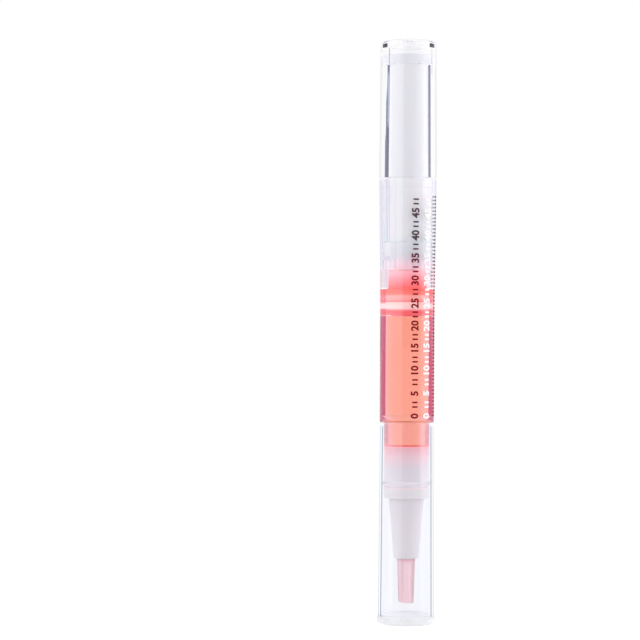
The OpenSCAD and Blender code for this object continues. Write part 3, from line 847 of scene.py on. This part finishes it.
_, sleeveHigh, sleeveRadius = span("bearing_sleeve")
sleeveSize = {"bore": 4.25, "body": 5.43, "collarLow": 97.3, "soft": 0.2, "meet": 0.04}
sleeveTones = {"deeper": colour(246, 246, 250), "paler": colour(252, 252, 254), "haze": (1.5, 3, 4),
               "hazeRough": 0.2, "roughness": 0.25, "milk": 0.3, "spreadLength": 1.0,
               "clear": colour(253, 252, 255), "clearShare": 0.3, "clearRough": 0.2, "index": 1.49}


def sleeveLook(graph):
    # Hazy, half see-through plastic.
    haze = graph.noise(*sleeveTones["haze"])
    body = graph.add("ShaderNodeBsdfPrincipled", inputs={
        "Base Color": graph.blend(haze, sleeveTones["deeper"], sleeveTones["paler"]),
        "Roughness": haze * sleeveTones["hazeRough"] + sleeveTones["roughness"],
        "Subsurface Weight": sleeveTones["milk"],
        "Subsurface Scale": sleeveTones["spreadLength"] * mm,
    })
    clear = graph.glass(sleeveTones["clear"], sleeveTones["clearRough"], sleeveTones["index"])
    return letLampsThrough(graph, graph.mixed(sleeveTones["clearShare"], body, clear))


sleeveFoot = nutHigh - sleeveSize["meet"]
sleevePiece = turned("hazySleeve", [
    (sleeveSize["bore"], sleeveFoot, 0),
    (sleeveSize["body"], sleeveFoot, 0),
    (sleeveSize["body"], sleeveSize["collarLow"], crisp),
    (sleeveRadius, sleeveSize["collarLow"], crisp),
    (sleeveRadius, sleeveHigh, sleeveSize["soft"]),
    (sleeveSize["bore"], sleeveHigh, crisp),
], "barrel", [finish("sleevePlastic", sleeveLook), openFace], ["bearing_sleeve"], ring=True)
openUp(sleevePiece, sleeveFoot)
print("drive dressed")

# Printed scale round the barrel

inkLook = {"wear": (0.15, 2), "wearShare": 0.06, "wearTone": colour(180, 110, 120), "wearRough": 0.3,
           "roughness": 0.35, "shine": 0.1, "oilEnds": (76, 86)}


def printedInk(overOil, overWhite):
    # Printed ink, slightly uneven, in two tones by what shows through it.
    def build(graph):
        worn = graph.noise(*inkLook["wear"])
        tone = graph.blend(graph.step(graph.height(), *inkLook["oilEnds"]), overOil, overWhite)
        return graph.add("ShaderNodeBsdfPrincipled", inputs={
            "Base Color": graph.blend(worn * inkLook["wearShare"], tone, inkLook["wearTone"]),
            "Roughness": worn * inkLook["wearRough"] + inkLook["roughness"],
            "Specular IOR Level": inkLook["shine"],
        })
    return build


inkDark = finish("darkInk", printedInk(colour(136, 0, 20), colour(78, 66, 74)))
inkWhite = finish("whiteInk", printedInk(white, white))
printSize = {"low": 46.5, "high": 95.5, "proud": 0.035, "thick": 0.02, "cuts": 8, "cutEvery": 0.25,
             "cutWithin": 1e-6, "curveSteps": 3}
# Angles are in degrees to the right of the front. In a row with numbers, every so many marks is a number,
# and ticks stand only midway between two numbers.
printRows = [
    {"name": "darkScale", "angle": 14.6, "ink": inkDark, "every": 1.0, "tick": (0.36, 1.25), "numbers": 5,
     "ticked": (2, 3), "glyph": 2.3, "bold": 0.08},
    {"name": "whiteScale", "angle": 43.4, "ink": inkWhite, "every": 1.0, "tick": (0.42, 1.3), "numbers": 5,
     "ticked": (2, 3), "glyph": 2.4, "bold": 0.09},
    {"name": "sideScale", "angle": 74, "ink": inkDark, "every": 0.8, "tick": (0.38, 1.3), "numbers": 0},
]


def barrelSurface(height):
    # The barrel's outer radius at a height, in mm.
    taperLow = barrelSize["shoulder"] + barrelSize["straight"]
    share = max(0, (height - taperLow) / (barrelHigh - taperLow))
    return barrelSize["front"] + (barrelRadius - barrelSize["front"]) * share


def wrap(bm, angle):
    # Bends a flat print, x up the pen and y round it, onto the barrel, after cutting it into narrow strips.
    for cut in range(-printSize["cuts"], printSize["cuts"] + 1):
        bmesh.ops.bisect_plane(bm, geom=bm.verts[:] + bm.edges[:] + bm.faces[:], dist=printSize["cutWithin"],
                               plane_co=(0, cut * printSize["cutEvery"], 0), plane_no=(0, 1, 0))
    for vert in bm.verts:
        radius = barrelSurface(vert.co.x) + printSize["proud"] + vert.co.z
        bearing = math.radians(angle - 90) - vert.co.y / radius
        vert.co = Vector((math.cos(bearing) * radius, math.sin(bearing) * radius, vert.co.x)) * mm


def addTick(bm, x, length, width):
    place = Matrix.Translation((x, 0, 0)) @ Matrix.Diagonal((length, width, printSize["thick"], 1))
    bmesh.ops.create_cube(bm, size=1, matrix=place)


def addNumber(bm, text, x, size, bold):
    # A number lying along the pen, from Blender's own plain font.
    font = bpy.data.curves.new("number", "FONT")
    font.body = text
    font.size = size
    font.offset = bold
    font.align_x = "CENTER"
    font.align_y = "CENTER"
    font.extrude = printSize["thick"] / 2
    font.resolution_u = printSize["curveSteps"]
    holder = bpy.data.objects.new("number", font)
    mesh = holder.to_mesh()
    mesh.transform(Matrix.Translation((x, 0, 0)))
    bm.from_mesh(mesh)
    holder.to_mesh_clear()
    bpy.data.objects.remove(holder)


def makePrint(row):
    # A row of ticks up the pen, with a plain number in place of some.
    bm = bmesh.new()
    for index in range(int((printSize["high"] - printSize["low"]) / row["every"]) + 1):
        x = printSize["low"] + index * row["every"]
        if row["numbers"] and index % row["numbers"] == 0:
            addNumber(bm, str(index), x, row["glyph"], row["bold"])
        elif not row["numbers"] or index % row["numbers"] in row["ticked"]:
            addTick(bm, x, *row["tick"])
    wrap(bm, row["angle"])
    newPiece(row["name"], bm, "barrel", [row["ink"]])


for row in printRows:
    makePrint(row)
print("scale printed")

# Floor, light and camera

# Spans are in degrees round the pen: the front one from straight ahead, the back one from straight behind.
studio = {
    "floorReach": 3.0,
    "floorDrop": 0.05,
    "floorTone": (0.8, 0.8, 0.82, 1),
    "floorLit": 1.1,
    "floorLitShare": 0.8,
    "frontSpan": (-22, 62),
    "frontSoft": 3,
    "frontGlow": (0.4, 0.4, 0.42, 1),
    "frontLight": (0.6, 0.6, 0.61, 1),
    "sideLight": (0.98, 0.98, 0.99, 1),
    "leftGlow": (1.2, 1.21, 1.25, 1),
    "rightGlow": (1.5, 1.5, 1.55, 1),
    "backSpan": (-42, 42),
    "backSoft": 6,
    "backGlow": (0.8, 0.8, 0.84, 1),
    # What a ray that has passed so many faces sees behind the pen; oil gathers more light.
    "behind": [(0, white), (5.5, (1.18, 1.1, 1.1, 1)), (8.5, (1.38, 1.26, 1.26, 1))],
}


def lightWorld():
    # The lights are what lamps and dull faces get, the glows what polished ones mirror.
    world = bpy.data.worlds.new("studio")
    bpy.context.scene.world = world
    graph = Graph(world)
    place = graph.add("ShaderNodeTexCoord", output="Generated")
    x, y = [graph.part(place, name) for name in "XY"]
    passed = graph.ray("Transmission Depth")
    seenThrough = white
    for faces, tone in studio["behind"]:
        seenThrough = graph.blend(passed > faces, seenThrough, tone)
    front = graph.within(x.bearing(y * -1), *studio["frontSpan"], studio["frontSoft"])
    back = graph.within(x.bearing(y), *studio["backSpan"], studio["backSoft"])
    lighting = graph.blend(front, studio["sideLight"], studio["frontLight"])
    glow = graph.blend(x > 0, studio["leftGlow"], studio["rightGlow"])
    glow = graph.blend(back, glow, studio["backGlow"])
    mirrored = graph.blend(front, glow, studio["frontGlow"])
    sentBack = (graph.ray("Glossy Depth") > 0.5) * (y < 0)
    seenThrough = graph.blend(sentBack, seenThrough, mirrored)
    tone = graph.blend(graph.light("Is Glossy Ray"), lighting, mirrored)
    tone = graph.blend(graph.light("Is Transmission Ray"), tone, seenThrough)
    tone = graph.blend(graph.light("Is Camera Ray"), tone, white)
    background = graph.add("ShaderNodeBackground", inputs={"Color": tone, "Strength": 1.0})
    graph.add("ShaderNodeOutputWorld", inputs={"Surface": background})


def floorLook(graph):
    # White to the camera with a faint shadow; clear plastic looks past it to the backdrop.
    shaded = graph.add("ShaderNodeBsdfDiffuse", inputs={"Color": studio["floorTone"]})
    lit = graph.add("ShaderNodeEmission", inputs={"Color": white, "Strength": studio["floorLit"]})
    plain = graph.light("Is Camera Ray", "Is Glossy Ray")
    seen = graph.mixed(plain * studio["floorLitShare"], shaded, lit)
    return graph.mixed(graph.light("Is Transmission Ray"), seen, graph.clear())


def makeFloor():
    bm = bmesh.new()
    bmesh.ops.create_grid(bm, x_segments=1, y_segments=1, size=studio["floorReach"])
    bmesh.ops.translate(bm, verts=bm.verts, vec=(0, 0, -studio["floorDrop"] * mm))
    mesh = bpy.data.meshes.new("floor")
    bm.to_mesh(mesh)
    bm.free()
    floor = bpy.data.objects.new("floor", mesh)
    bpy.context.scene.collection.objects.link(floor)
    mesh.materials.append(finish("paleFloor", floorLook))


# Places are in metres; both lamps aim at the middle of the pen.
lamps = [
    {"name": "leftSoftbox", "place": (-0.5, -0.15, 0.2), "size": 0.5, "power": 0.7},
    {"name": "rightSoftbox", "place": (0.5, -0.1, 0.25), "size": 0.5, "power": 1.15},
]
lampAim = Vector((0, 0, 0.065))


def makeLamps():
    for lamp in lamps:
        data = bpy.data.lights.new(lamp["name"], "AREA")
        data.size = lamp["size"]
        data.energy = lamp["power"]
        holder = bpy.data.objects.new(lamp["name"], data)
        holder.location = lamp["place"]
        aim = lampAim - Vector(lamp["place"])
        holder.rotation_euler = aim.to_track_quat("-Z", "Y").to_euler()
        holder.visible_glossy = False
        holder.visible_transmission = False
        holder.visible_camera = False
        bpy.context.scene.collection.objects.link(holder)


# Camera: 461 mm away, level with the middle of the pen and a little to its left.
view = {"place": (-0.01956, -0.461, 0.06766), "lens": 115.65, "sensor": 36, "roll": -0.28}


def makeCamera():
    data = bpy.data.cameras.new("camera")
    data.lens = view["lens"]
    data.sensor_width = view["sensor"]
    camera = bpy.data.objects.new("camera", data)
    camera.location = view["place"]
    camera.rotation_euler = (math.pi / 2, math.radians(view["roll"]), 0)
    bpy.context.scene.collection.objects.link(camera)
    bpy.context.scene.camera = camera


makeFloor()
lightWorld()
makeLamps()
makeCamera()
bpy.context.scene.view_settings.view_transform = "Standard"
print("studio lit")
